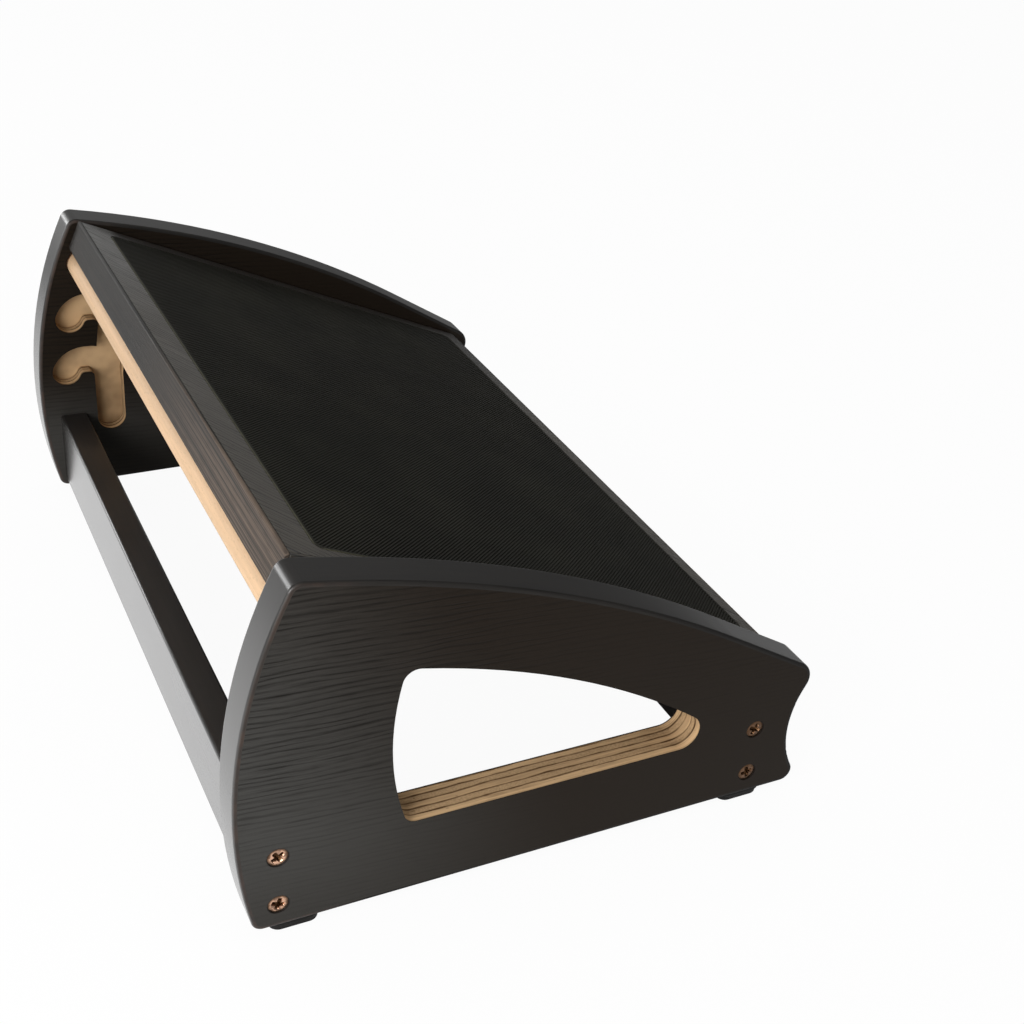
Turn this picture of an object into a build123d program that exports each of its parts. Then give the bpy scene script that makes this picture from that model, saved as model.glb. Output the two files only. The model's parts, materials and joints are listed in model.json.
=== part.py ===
from build123d import *
import os
from math import asin, atan2, cos, degrees, hypot, radians, sin, sqrt

# Adjustable under-desk footrest. Two plywood side panels, joined by two stretchers, carry a platform
# that is hinged at its heel end. Its toe end lies on a loose round rod, whose ends drop into hooked
# slots in the panels, so lifting the platform and moving the rod changes the slope.
# Millimetres. X is the width, +Y points to the toe end and +Z up. The origin is on the floor, under
# the middle of the footrest.

# Frame
overall_width = 430.0
panel_thickness = 20.0
band_thickness = 2.0
band_round = 1.5

# Side panel outline, seen from the side
toe_reach = 144.5
toe_edge_radius = 255.0
toe_bulge_height = 69.7
toe_top_height = 182.1
heel_lobe_reach = 148.1
heel_lobe_height = 72.8
heel_straight_length = 62.4
heel_straight_angle = 30.8
heel_hollow_depth = 12.0
heel_bottom_kick = 1.9
toe_top_round = 6.0
toe_bottom_round = 5.5
heel_lobe_round = 10.0
heel_bottom_round = 6.0

# Window through each side panel
window_sill_height = 45.1
window_toe_reach = 75.0
window_toe_radius = 140.0
window_toe_bulge_height = 92.7
window_crown_reach = 148.8
window_crown_height = 137.9
window_top_radius = 383.0
window_toe_top_round = 7.0
window_toe_bottom_round = 6.0
window_heel_round = 10.0

# Support rod and the hooked slots that hold its ends
rod_diameter = 16.0
rod_end_chamfer = 1.2
rod_end_play = 0.5
slot_clearance = 0.8
slot_depth = 10.0
slot_wall = 8.0
slot_foot_drop = 29.5
lip_nose_radius = 3.0
lip_flat = 2.7
hook_dip_angle = 24.0
hook_top_drop = 33.5
hook_pitch = 34.5
hook_count = 3
rest_gap = 0.3

# Stretchers
stretcher_thickness = 16.0
stretcher_lift = 4.7
heel_swing_gap = 2.0
stretcher_round = 1.5
front_stretcher_setback = 19.0
rear_stretcher_setback = 34.0

# Screws through the panels into the stretcher ends
screw_lower_margin = 8.0
screw_upper_margin = 10.0
screw_length = 50.0
screw_diameter = 5.0
screw_head_diameter = 9.6
screw_head_sink = 0.2
screw_tip_length = 4.0
screw_tip_radius = 0.6
screw_clearance = 0.1
cross_width = 1.3
cross_span = 5.4
cross_depth = 1.8

# Rubber feet and their screws
foot_height = 5.5
foot_length = 25.0
foot_width = 17.2
foot_flange_height = 2.3
foot_corner_round = 6.0
foot_step = 0.7
foot_taper = 7.0
front_foot_setback = 27.6
rear_foot_setback = 33.7
foot_screw_diameter = 3.5
foot_screw_head_diameter = 7.0
foot_screw_head_height = 2.0
foot_screw_length = 9.0
foot_screw_recess = 1.0

# Platform board, its edge strips and the mat
board_thickness = 18.0
board_toe_overhang = 11.3
board_side_gap = 2.0
strip_thickness = 2.0
strip_round = 1.2
mat_toe_border = 17.0
mat_heel_border = 10.0
mat_side_border = 10.0
mat_corner_round = 5.0
mat_thickness = 2.2
mat_recess_depth = 2.0
mat_edge_gap = 0.4

# Heel pivot
pivot_board_inset = 17.5
pivot_lobe_inset = 35.3
pivot_lobe_rise = 4.1
pin_diameter = 8.0
pin_board_depth = 24.0
pin_end_chamfer = 0.6
pin_end_play = 0.5
bush_diameter = 12.0
bush_length = 12.0
bush_flange_diameter = 17.0
bush_flange_thickness = 1.2
pin_running_gap = 0.05
press_gap = 0.02

# Values worked out from the sizes above
half_width = overall_width / 2
inner_half_width = half_width - panel_thickness
panel_bottom = foot_height
rod_radius = rod_diameter / 2
slot_radius = rod_radius + slot_clearance
hook_swing = lip_nose_radius + slot_radius
sides = {"left": -1, "right": 1}
same_place = 1e-6


class ProfileCircle:
    """A circle in the side view, of which an outline uses one arc."""

    def __init__(self, y, z, radius):
        self.y, self.z, self.radius = y, z, radius

    def height_at(self, y):
        return self.z + sqrt(self.radius**2 - (y - self.y) ** 2)

    def reach_at(self, z):
        return self.y + sqrt(self.radius**2 - (z - self.z) ** 2)

    def heel_reach_at(self, z):
        return self.y - sqrt(self.radius**2 - (z - self.z) ** 2)

    def upper_crossing(self, other):
        dy, dz = other.y - self.y, other.z - self.z
        span = hypot(dy, dz)
        along = (self.radius**2 - other.radius**2 + span**2) / (2 * span)
        across = sqrt(self.radius**2 - along**2)
        middle_y, middle_z = self.y + along * dy / span, self.z + along * dz / span
        crossings = [
            (middle_y - turn * across * dz / span, middle_z + turn * across * dy / span) for turn in (1, -1)
        ]
        return max(crossings, key=lambda point: point[1])


toe_circle = ProfileCircle(toe_reach - toe_edge_radius, toe_bulge_height, toe_edge_radius)
window_toe_circle = ProfileCircle(
    window_toe_reach - window_toe_radius, window_toe_bulge_height, window_toe_radius
)
window_top_circle = ProfileCircle(
    window_crown_reach, window_crown_height - window_top_radius, window_top_radius
)

# Sharp corners of the panel outline, before they are rounded
toe_top = (toe_circle.reach_at(toe_top_height), toe_top_height)
toe_bottom = (toe_circle.reach_at(panel_bottom), panel_bottom)
heel_lobe = (-heel_lobe_reach, heel_lobe_height)
heel_bottom = (heel_lobe[0] - heel_bottom_kick, panel_bottom)
straight_direction = (cos(radians(heel_straight_angle)), sin(radians(heel_straight_angle)))
straight_end = (
    heel_lobe[0] + heel_straight_length * straight_direction[0],
    heel_lobe[1] + heel_straight_length * straight_direction[1],
)

# Hooks of the slot: the nose that each hook bends round, and the cup that the rod lies in
hook_dip = (hook_swing * cos(radians(hook_dip_angle)), hook_swing * sin(radians(hook_dip_angle)))


def hook_nose(index):
    height = toe_top_height - hook_top_drop - (hook_count - 1 - index) * hook_pitch
    cup_reach = toe_circle.reach_at(height + hook_dip[1]) - slot_wall - slot_radius
    return (cup_reach - hook_dip[0], height)


noses = [hook_nose(index) for index in range(hook_count)]
top_cup = (noses[-1][0] + hook_dip[0], noses[-1][1] + hook_dip[1])
rod_centre = (top_cup[0], top_cup[1] - slot_clearance + rest_gap)

# The platform turns on the heel pivot and lies on the rod, which sets its slope
pivot = (heel_lobe[0] + pivot_lobe_inset, heel_lobe[1] + pivot_lobe_rise)
pivot_to_rod = (rod_centre[0] - pivot[0], rod_centre[1] - pivot[1])
rod_offset = board_thickness / 2 + rest_gap + rod_radius
slope = atan2(pivot_to_rod[1], pivot_to_rod[0]) + asin(rod_offset / hypot(*pivot_to_rod))
platform_plane = Plane(
    origin=(0, pivot[0], pivot[1]), x_dir=(1, 0, 0), z_dir=(0, -sin(slope), cos(slope))
)
board_width = 2 * (inner_half_width - board_side_gap)
board_heel = -pivot_board_inset
board_toe = sqrt(hypot(*pivot_to_rod) ** 2 - rod_offset**2) + board_toe_overhang
board_length = board_toe - board_heel

# Stretchers, screws and feet follow the panel's corners. The heel end of the platform swings clear of
# the rear stretcher, which sets the height of both.
stretcher_bottom = panel_bottom + stretcher_lift
heel_swing_radius = hypot(pivot_board_inset, board_thickness / 2)
stretcher_height = pivot[1] - heel_swing_radius - heel_swing_gap - stretcher_bottom
stretcher_reach = {
    "front": toe_reach - front_stretcher_setback,
    "rear": heel_bottom[0] + rear_stretcher_setback,
}
screw_heights = {
    "lower": stretcher_bottom + screw_lower_margin,
    "upper": stretcher_bottom + stretcher_height - screw_upper_margin,
}
foot_reach = {
    "front": toe_reach - front_foot_setback,
    "rear": heel_bottom[0] + rear_foot_setback,
}
foot_centre_x = half_width - panel_thickness / 2
foot_screw_top = foot_screw_recess + foot_screw_head_height + foot_screw_length


def round_corners(sketch, corners):
    for point, radius in corners:
        corner = sketch.vertices().sort_by_distance((point[0], point[1], 0))[0]
        sketch = fillet(corner, radius)
    return sketch


def panel_outline():
    toe_middle_z = (panel_bottom + toe_top[1]) / 2
    toe_middle = (toe_circle.reach_at(toe_middle_z), toe_middle_z)
    hollow_middle = (
        (heel_lobe[0] + heel_bottom[0]) / 2 + heel_hollow_depth,
        (heel_lobe[1] + heel_bottom[1]) / 2,
    )
    edges = [
        Line(heel_bottom, toe_bottom),
        ThreePointArc(toe_bottom, toe_middle, toe_top),
        TangentArc(straight_end, toe_top, tangent=straight_direction),
        Line(straight_end, heel_lobe),
        ThreePointArc(heel_lobe, hollow_middle, heel_bottom),
    ]
    corners = [
        (toe_top, toe_top_round),
        (toe_bottom, toe_bottom_round),
        (heel_lobe, heel_lobe_round),
        (heel_bottom, heel_bottom_round),
    ]
    return round_corners(make_face(edges), corners)


def window_outline():
    sill = window_sill_height
    toe_low = (window_toe_circle.reach_at(sill), sill)
    toe_high = window_toe_circle.upper_crossing(window_top_circle)
    heel_end = (window_top_circle.heel_reach_at(sill), sill)
    toe_middle_z = (sill + toe_high[1]) / 2
    toe_middle = (window_toe_circle.reach_at(toe_middle_z), toe_middle_z)
    top_middle_y = (heel_end[0] + toe_high[0]) / 2
    top_middle = (top_middle_y, window_top_circle.height_at(top_middle_y))
    edges = [
        Line(heel_end, toe_low),
        ThreePointArc(toe_low, toe_middle, toe_high),
        ThreePointArc(toe_high, top_middle, heel_end),
    ]
    corners = [
        (toe_high, window_toe_top_round),
        (toe_low, window_toe_bottom_round),
        (heel_end, window_heel_round),
    ]
    return round_corners(make_face(edges), corners)


def slot_outline():
    """An upright channel with one hook bending out of it, over a rounded lip, for each rod position."""
    channel = [(nose[0] - lip_flat - hook_swing, nose[1]) for nose in noses]
    points = [(channel[0][0], channel[0][1] - slot_foot_drop)] + channel
    outline = Sketch()
    for low, high in zip(points, points[1:]):
        outline += SlotArc(Line(low, high), 2 * slot_radius)
    for nose_y, nose_z in noses:
        crest = nose_z + hook_swing
        rise = CenterArc((nose_y - lip_flat, nose_z), hook_swing, 90, 90)
        pass_over = Line((nose_y - lip_flat, crest), (nose_y, crest))
        dip = CenterArc((nose_y, nose_z), hook_swing, hook_dip_angle, 90 - hook_dip_angle)
        for stretch in (rise, pass_over, dip):
            outline += SlotArc(stretch, 2 * slot_radius)
    return outline


def side_slab(sketch, side, depth_from, depth_to):
    """A side-view sketch as a solid in one panel, between two depths below that panel's outer face."""
    if side > 0:
        start = half_width - depth_to
    else:
        start = -half_width + depth_from
    return extrude(Plane.YZ.offset(start) * sketch, amount=depth_to - depth_from)


def outer_face(side, y, z):
    """The plane of a panel's outer face at one point, looking out of the panel."""
    return Plane(origin=(side * half_width, y, z), x_dir=(0, 1, 0), z_dir=(side, 0, 0))


def inner_face(side, y, z):
    """The plane of a panel's inner face at one point, looking into the panel."""
    return Plane(origin=(side * inner_half_width, y, z), x_dir=(0, 1, 0), z_dir=(side, 0, 0))


def peg(radius, length, start=0.0):
    """A cylinder along +Z that starts at one height."""
    return Pos(0, 0, start) * Cylinder(radius, length, align=(Align.CENTER, Align.CENTER, Align.MIN))


def countersunk_body(extra):
    """Head and shank of a panel screw, below its flush top, grown all round by a clearance."""
    head_radius = screw_head_diameter / 2
    shank_radius = screw_diameter / 2
    head_height = head_radius - shank_radius
    head = Pos(0, 0, -head_height) * Cone(
        shank_radius + extra, head_radius + extra, head_height, align=(Align.CENTER, Align.CENTER, Align.MIN)
    )
    straight_length = screw_length - screw_tip_length
    return head + peg(shank_radius + extra, straight_length, -straight_length)


def panel_screw():
    tip = Pos(0, 0, -screw_length) * Cone(
        screw_tip_radius, screw_diameter / 2, screw_tip_length, align=(Align.CENTER, Align.CENTER, Align.MIN)
    )
    cross = Box(cross_span, cross_width, 2 * cross_depth) + Box(cross_width, cross_span, 2 * cross_depth)
    return countersunk_body(0.0) + tip - cross


def panel_screw_hole():
    """Countersunk hole, open at the outer face, that leaves room round a panel screw."""
    mouth = peg(screw_head_diameter / 2 + screw_clearance, 2 * screw_head_sink)
    return countersunk_body(screw_clearance) + mouth + peg(
        screw_diameter / 2 + screw_clearance, screw_length + screw_clearance, -screw_length - screw_clearance
    )


def screw_seat(side, y, z):
    return outer_face(side, y, z) * Pos(0, 0, -screw_head_sink)


def foot_screw():
    """Pan-head screw pointing up from its seat inside the foot."""
    head = peg(foot_screw_head_diameter / 2, foot_screw_head_height)
    slot = Box(cross_span, cross_width, cross_depth) + Box(cross_width, cross_span, cross_depth)
    return head + peg(foot_screw_diameter / 2, foot_screw_length, foot_screw_head_height) - slot


def foot_screw_hole(side, reach):
    """Hole for a foot screw, from the floor up to just past its tip."""
    hole = peg(foot_screw_diameter / 2 + screw_clearance, foot_screw_top + screw_clearance)
    return Pos(side * foot_centre_x, reach, 0) * hole


def rubber_foot(side, reach):
    """A stepped pad: a flange against the panel and a tapered tread on the floor."""
    flange_sketch = RectangleRounded(foot_width, foot_length, foot_corner_round)
    tread_sketch = RectangleRounded(
        foot_width - 2 * foot_step, foot_length - 2 * foot_step, foot_corner_round - foot_step
    )
    tread_height = foot_height - foot_flange_height
    tread = extrude(Pos(0, 0, tread_height) * tread_sketch, amount=-tread_height, taper=foot_taper)
    pad = tread + extrude(Pos(0, 0, tread_height) * flange_sketch, amount=foot_flange_height)
    head_room = peg(
        foot_screw_head_diameter / 2 + screw_clearance, foot_screw_recess + foot_screw_head_height
    )
    return Pos(side * foot_centre_x, reach, 0) * (pad - head_room) - foot_screw_hole(side, reach)


def side_panel(side, face, window, slot):
    """Plywood core of one panel, with its window, slot, screw holes and bush seat."""
    core = side_slab(offset(face, amount=-band_thickness) - window, side, 0, panel_thickness)
    core -= side_slab(slot, side, panel_thickness - slot_depth, panel_thickness)
    for reach in stretcher_reach.values():
        for height in screw_heights.values():
            core -= screw_seat(side, reach, height) * panel_screw_hole()
    core -= inner_face(side, *pivot) * peg(bush_diameter / 2 + press_gap, bush_length)
    for reach in foot_reach.values():
        core -= foot_screw_hole(side, reach)
    return core


def edge_band(side, face):
    """Band glued round the panel, with its outer arrises rounded."""
    band = side_slab(face - offset(face, amount=-band_thickness), side, 0, panel_thickness)
    rims = [rim for flat in band.faces().filter_by(Axis.X) for rim in flat.outer_wire().edges()]
    band = band.solid().fillet(band_round, rims)
    for reach in foot_reach.values():
        band -= foot_screw_hole(side, reach)
    return band


def stretcher(reach):
    board = Box(2 * inner_half_width, stretcher_thickness, stretcher_height)
    board = fillet(board.edges().filter_by(Axis.X), stretcher_round)
    board = Pos(0, reach, stretcher_bottom + stretcher_height / 2) * board
    for side in sides.values():
        for height in screw_heights.values():
            board -= screw_seat(side, reach, height) * panel_screw_hole()
    return board


def on_platform(shape):
    return platform_plane * shape


def platform_pin_hole(side):
    start = board_width / 2 - pin_board_depth
    bore = peg(pin_diameter / 2 + press_gap, pin_board_depth, start)
    return Rot(0, 90 * side, 0) * bore


def mat_sketch(grow):
    length = board_length - mat_toe_border - mat_heel_border + 2 * grow
    width = board_width - 2 * mat_side_border + 2 * grow
    middle = board_heel + mat_heel_border - grow + length / 2
    return Pos(0, middle) * RectangleRounded(width, length, mat_corner_round + grow)


def platform_board():
    width = board_width - 2 * strip_thickness
    length = board_length - 2 * strip_thickness
    board = Pos(0, board_heel + strip_thickness + length / 2, 0) * Box(width, length, board_thickness)
    recess_floor = board_thickness / 2 - mat_recess_depth
    board -= extrude(Pos(0, 0, recess_floor) * mat_sketch(mat_edge_gap), amount=mat_recess_depth)
    for side in sides.values():
        board -= platform_pin_hole(side)
    return on_platform(board)


def end_strip(outer_y, inner_y):
    """Strip across the toe or the heel end of the board, with its outer arrises rounded."""
    strip = Pos(0, (outer_y + inner_y) / 2, 0) * Box(board_width, strip_thickness, board_thickness)
    long_edges = strip.edges().filter_by(Axis.X)
    outer_edges = [edge for edge in long_edges if abs(edge.center().Y - outer_y) < same_place]
    return on_platform(fillet(outer_edges, strip_round))


def side_strip(side):
    length = board_length - 2 * strip_thickness
    outer_x = side * board_width / 2
    strip = Pos(outer_x - side * strip_thickness / 2, board_heel + strip_thickness + length / 2, 0) * Box(
        strip_thickness, length, board_thickness
    )
    long_edges = strip.edges().filter_by(Axis.Y)
    outer_edges = [edge for edge in long_edges if abs(edge.center().X - outer_x) < same_place]
    return on_platform(fillet(outer_edges, strip_round) - platform_pin_hole(side))


def anti_slip_mat():
    recess_floor = board_thickness / 2 - mat_recess_depth
    return on_platform(extrude(Pos(0, 0, recess_floor) * mat_sketch(0.0), amount=mat_thickness))


def pivot_pin(side):
    """Steel pin pressed into the board's side, reaching through the gap into the bush."""
    length = pin_board_depth + board_side_gap + bush_length - pin_end_play
    pin = peg(pin_diameter / 2, length, board_width / 2 - pin_board_depth)
    pin = chamfer(pin.edges().filter_by(GeomType.CIRCLE), pin_end_chamfer)
    return on_platform(Rot(0, 90 * side, 0) * pin)


def pivot_bush(side):
    """Flanged bush in the panel's inner face; its flange keeps the platform off the panel."""
    bore = peg(
        pin_diameter / 2 + pin_running_gap, bush_length + bush_flange_thickness, -bush_flange_thickness
    )
    flange = peg(bush_flange_diameter / 2, bush_flange_thickness, -bush_flange_thickness)
    return inner_face(side, *pivot) * (peg(bush_diameter / 2, bush_length) + flange - bore)


def support_rod():
    length = 2 * (inner_half_width + slot_depth - rod_end_play)
    rod = chamfer(Cylinder(rod_radius, length).edges().filter_by(GeomType.CIRCLE), rod_end_chamfer)
    return Pos(0, *rod_centre) * Rot(0, 90, 0) * rod


def footrest():
    """Every piece of the footrest by its node name."""
    face, window, slot = panel_outline(), window_outline(), slot_outline()
    pieces = {
        "platform_board": platform_board(),
        "platform_toe_strip": end_strip(board_toe, board_toe - strip_thickness),
        "platform_heel_strip": end_strip(board_heel, board_heel + strip_thickness),
        "anti_slip_mat": anti_slip_mat(),
        "support_rod": support_rod(),
    }
    for end, reach in stretcher_reach.items():
        pieces[f"{end}_stretcher"] = stretcher(reach)
    for name, side in sides.items():
        pieces[f"{name}_side_panel"] = side_panel(side, face, window, slot)
        pieces[f"{name}_edge_band"] = edge_band(side, face)
        pieces[f"{name}_pivot_bush"] = pivot_bush(side)
        pieces[f"{name}_pivot_pin"] = pivot_pin(side)
        pieces[f"platform_{name}_strip"] = side_strip(side)
        for end, reach in stretcher_reach.items():
            for level, height in screw_heights.items():
                pieces[f"{end}_{name}_{level}_screw"] = screw_seat(side, reach, height) * panel_screw()
        for end, reach in foot_reach.items():
            screw_place = Pos(side * foot_centre_x, reach, foot_screw_recess)
            pieces[f"{end}_{name}_foot"] = rubber_foot(side, reach)
            pieces[f"{end}_{name}_foot_screw"] = screw_place * foot_screw()
    return pieces


os.makedirs("parts", exist_ok=True)
for node, piece in footrest().items():
    export_step(piece, f"parts/{node}.step")

print("heel pivot y, z:", [round(value, 3) for value in pivot])
print("top hook nose y, z:", [round(value, 3) for value in noses[-1]])
print("rod centre y, z:", [round(value, 3) for value in rod_centre])
print("platform slope, degrees:", round(degrees(slope), 3))
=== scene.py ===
"""Finishes, ribbed mat, cross-head screws and studio for an adjustable under-desk footrest.

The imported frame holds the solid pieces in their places. This add-on gives every piece its finish,
lays the ribbed mat into the platform, sets screws with cross recesses in place of the plain ones
and sets up a plain studio. Lengths are metres in meshes and settings, and millimetres in finishes.
"""

import json
from math import cos, hypot, pi, radians, sin

import bmesh
import bpy
from bpy.props import FloatProperty, FloatVectorProperty, IntProperty, PointerProperty
from mathutils import Matrix, Vector


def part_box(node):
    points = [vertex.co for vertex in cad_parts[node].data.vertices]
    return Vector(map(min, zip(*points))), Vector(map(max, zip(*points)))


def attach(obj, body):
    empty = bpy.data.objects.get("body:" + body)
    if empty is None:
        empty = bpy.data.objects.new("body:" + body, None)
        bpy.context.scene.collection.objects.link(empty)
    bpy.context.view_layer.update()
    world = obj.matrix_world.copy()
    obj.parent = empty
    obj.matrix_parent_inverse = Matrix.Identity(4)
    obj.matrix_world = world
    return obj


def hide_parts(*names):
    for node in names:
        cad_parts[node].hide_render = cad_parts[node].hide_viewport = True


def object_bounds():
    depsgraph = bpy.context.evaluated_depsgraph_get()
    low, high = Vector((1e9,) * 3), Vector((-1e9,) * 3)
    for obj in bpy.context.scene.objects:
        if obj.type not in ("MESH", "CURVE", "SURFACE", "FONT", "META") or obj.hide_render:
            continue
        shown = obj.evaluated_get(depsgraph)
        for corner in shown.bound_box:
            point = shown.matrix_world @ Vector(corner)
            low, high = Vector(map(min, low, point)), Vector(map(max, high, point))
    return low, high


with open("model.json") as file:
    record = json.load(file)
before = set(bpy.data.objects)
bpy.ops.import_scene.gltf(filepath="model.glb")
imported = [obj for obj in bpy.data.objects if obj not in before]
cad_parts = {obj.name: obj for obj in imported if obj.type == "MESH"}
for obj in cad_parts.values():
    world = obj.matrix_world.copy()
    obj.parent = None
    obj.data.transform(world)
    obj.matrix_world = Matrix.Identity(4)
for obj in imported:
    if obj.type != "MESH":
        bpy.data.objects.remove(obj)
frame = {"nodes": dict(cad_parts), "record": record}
cad_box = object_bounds()

bl_info = {
    "name": "Under-desk Footrest",
    "version": (1, 0, 0),
    "blender": (4, 5, 0),
    "location": "3D View > Sidebar > Footrest",
    "description": "Finishes, ribbed mat, screws and studio for an adjustable under-desk footrest",
    "category": "Object",
}

MILLIMETRE = 0.001
SIDES = ("left", "right")
ENDS = ("front", "rear")
LEVELS = ("lower", "upper")

WIDTH_WAY = Vector((1, 0, 0))
DEPTH_WAY = Vector((0, 1, 0))
UP_WAY = Vector((0, 0, 1))
FRAME_WAYS = (WIDTH_WAY, DEPTH_WAY, UP_WAY)

# The mount on the mat gives the platform's slope
foot_surface = next(mount for mount in frame["record"]["mounts"] if mount["name"] == "foot_surface")
MAT_MIDDLE = Vector(foot_surface["pos_m"])
PLATFORM_UP = Vector(foot_surface["axis"]).normalized()
PLATFORM_TOE = PLATFORM_UP.cross(WIDTH_WAY).normalized()
PLATFORM_WAYS = (WIDTH_WAY, PLATFORM_TOE, PLATFORM_UP)
BOARD_SKEW = radians(-35)

# Places in the panels, in millimetres from the middle of the footrest
panel_low, panel_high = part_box("right_side_panel")
PANEL_INNER = panel_low.x / MILLIMETRE
PANEL_OUTER = panel_high.x / MILLIMETRE
PANEL_THICKNESS = PANEL_OUTER - PANEL_INNER
SLOT_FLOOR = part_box("support_rod")[1].x / MILLIMETRE
SCREW_PLACES = []
for end in ENDS:
    for level in LEVELS:
        screw_low, screw_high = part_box(f"{end}_left_{level}_screw")
        screw_middle = (screw_low + screw_high) / 2 / MILLIMETRE
        SCREW_PLACES.append((screw_middle.y, screw_middle.z))

# Radii of the edges that sanding and moulding leave
STRETCHER_EASE = 0.8 * MILLIMETRE
STRIP_EASE = 0.5 * MILLIMETRE
FOOT_EASE = 0.6 * MILLIMETRE

# The ribs' outline: shares of one pitch, each with its share of the height below the crest
RIB_PROFILE = ((0.00, 0.0), (0.42, 0.0), (0.60, 1.0), (0.82, 1.0))
# The first rib's distance from the field's corner, and the halvings in a search for the outline
FIELD_MARGIN = 0.1 * MILLIMETRE
HALVINGS = 40

# Screws: rise of the domed head, height of its rim, fineness of the mesh, turns of the recesses
SHANK_RADIUS = 2.4 * MILLIMETRE
HEAD_DOME = 0.35 * MILLIMETRE
HEAD_RIM = 0.2 * MILLIMETRE
HEAD_RINGS = 24
HEAD_SIDES = 64
HEAD_SMOOTHING = radians(35)
FIRST_TURN = radians(20)
TURN_STEP = radians(37)

# Each lamp's place, its width and height in metres, and its power in watts
LAMPS = {
    "window_lamp": ((-0.72, 0.78, 0.5), (0.6, 0.5), 8.5),
    "far_lamp": ((1.4, 0.95, 0.52), (0.75, 0.6), 5.5),
    "ceiling_lamp": ((0.0, 0.0, 2.3), (2.4, 2.4), 12.0),
}
LAMP_AIM = Vector((0, 0, 0.1))


class Wire:
    """An output socket. Arithmetic on wires adds Math nodes to the tree that they belong to."""

    def __init__(self, tree, socket):
        self.tree = tree
        self.socket = socket

    def __add__(self, other):
        return self.tree.math("ADD", self, other)

    def __radd__(self, other):
        return self.tree.math("ADD", other, self)

    def __sub__(self, other):
        return self.tree.math("SUBTRACT", self, other)

    def __rsub__(self, other):
        return self.tree.math("SUBTRACT", other, self)

    def __mul__(self, other):
        return self.tree.math("MULTIPLY", self, other)

    def __rmul__(self, other):
        return self.tree.math("MULTIPLY", other, self)

    def __truediv__(self, other):
        return self.tree.math("DIVIDE", self, other)

    def __rtruediv__(self, other):
        return self.tree.math("DIVIDE", other, self)

    def __mod__(self, other):
        return self.tree.math("FLOORED_MODULO", self, other)

    def __rmod__(self, other):
        return self.tree.math("FLOORED_MODULO", other, self)

    def __abs__(self):
        return self.tree.math("ABSOLUTE", self)

    def most(self, other):
        return self.tree.math("MAXIMUM", self, other)

    def least(self, other):
        return self.tree.math("MINIMUM", self, other)

    def rise(self, low, high):
        """0 below one value and 1 above another, smooth between them."""
        settings = {"interpolation_type": "SMOOTHSTEP"}
        sockets = {"Value": self, "From Min": low, "From Max": high}
        return self.tree.node("ShaderNodeMapRange", settings, sockets)


class Tree:
    """A node tree in the making."""

    def __init__(self, node_tree):
        self.node_tree = node_tree
        self.node_tree.nodes.clear()

    def node(self, kind, settings=None, sockets=None, outlet=0):
        """A new node, as the wire of one of its outlets. Its settings are made before its sockets."""
        node = self.node_tree.nodes.new(kind)
        for name, value in (settings or {}).items():
            setattr(node, name, value)
        for key, value in (sockets or {}).items():
            self.feed(node.inputs[key], value)
        return Wire(self, node.outputs[outlet]) if node.outputs else None

    def feed(self, socket, value):
        """Links a wire to a socket, or writes a plain value there."""
        if isinstance(value, Wire):
            self.node_tree.links.new(value.socket, socket)
        else:
            socket.default_value = value

    def math(self, operation, *values):
        return self.node("ShaderNodeMath", {"operation": operation}, dict(enumerate(values)))

    def blend(self, share, first, second):
        """Two shaders mixed by a share from 0 to 1."""
        return self.node("ShaderNodeMixShader", None, {0: share, 1: first, 2: second})

    def seen_by(self, *rays):
        """1 for rays of these kinds and 0 for the others, which light the object."""
        shares = [self.node("ShaderNodeLightPath", outlet=f"Is {ray} Ray") for ray in rays]
        seen = shares[0]
        for share in shares[1:]:
            seen = seen.most(share)
        return seen


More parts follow.
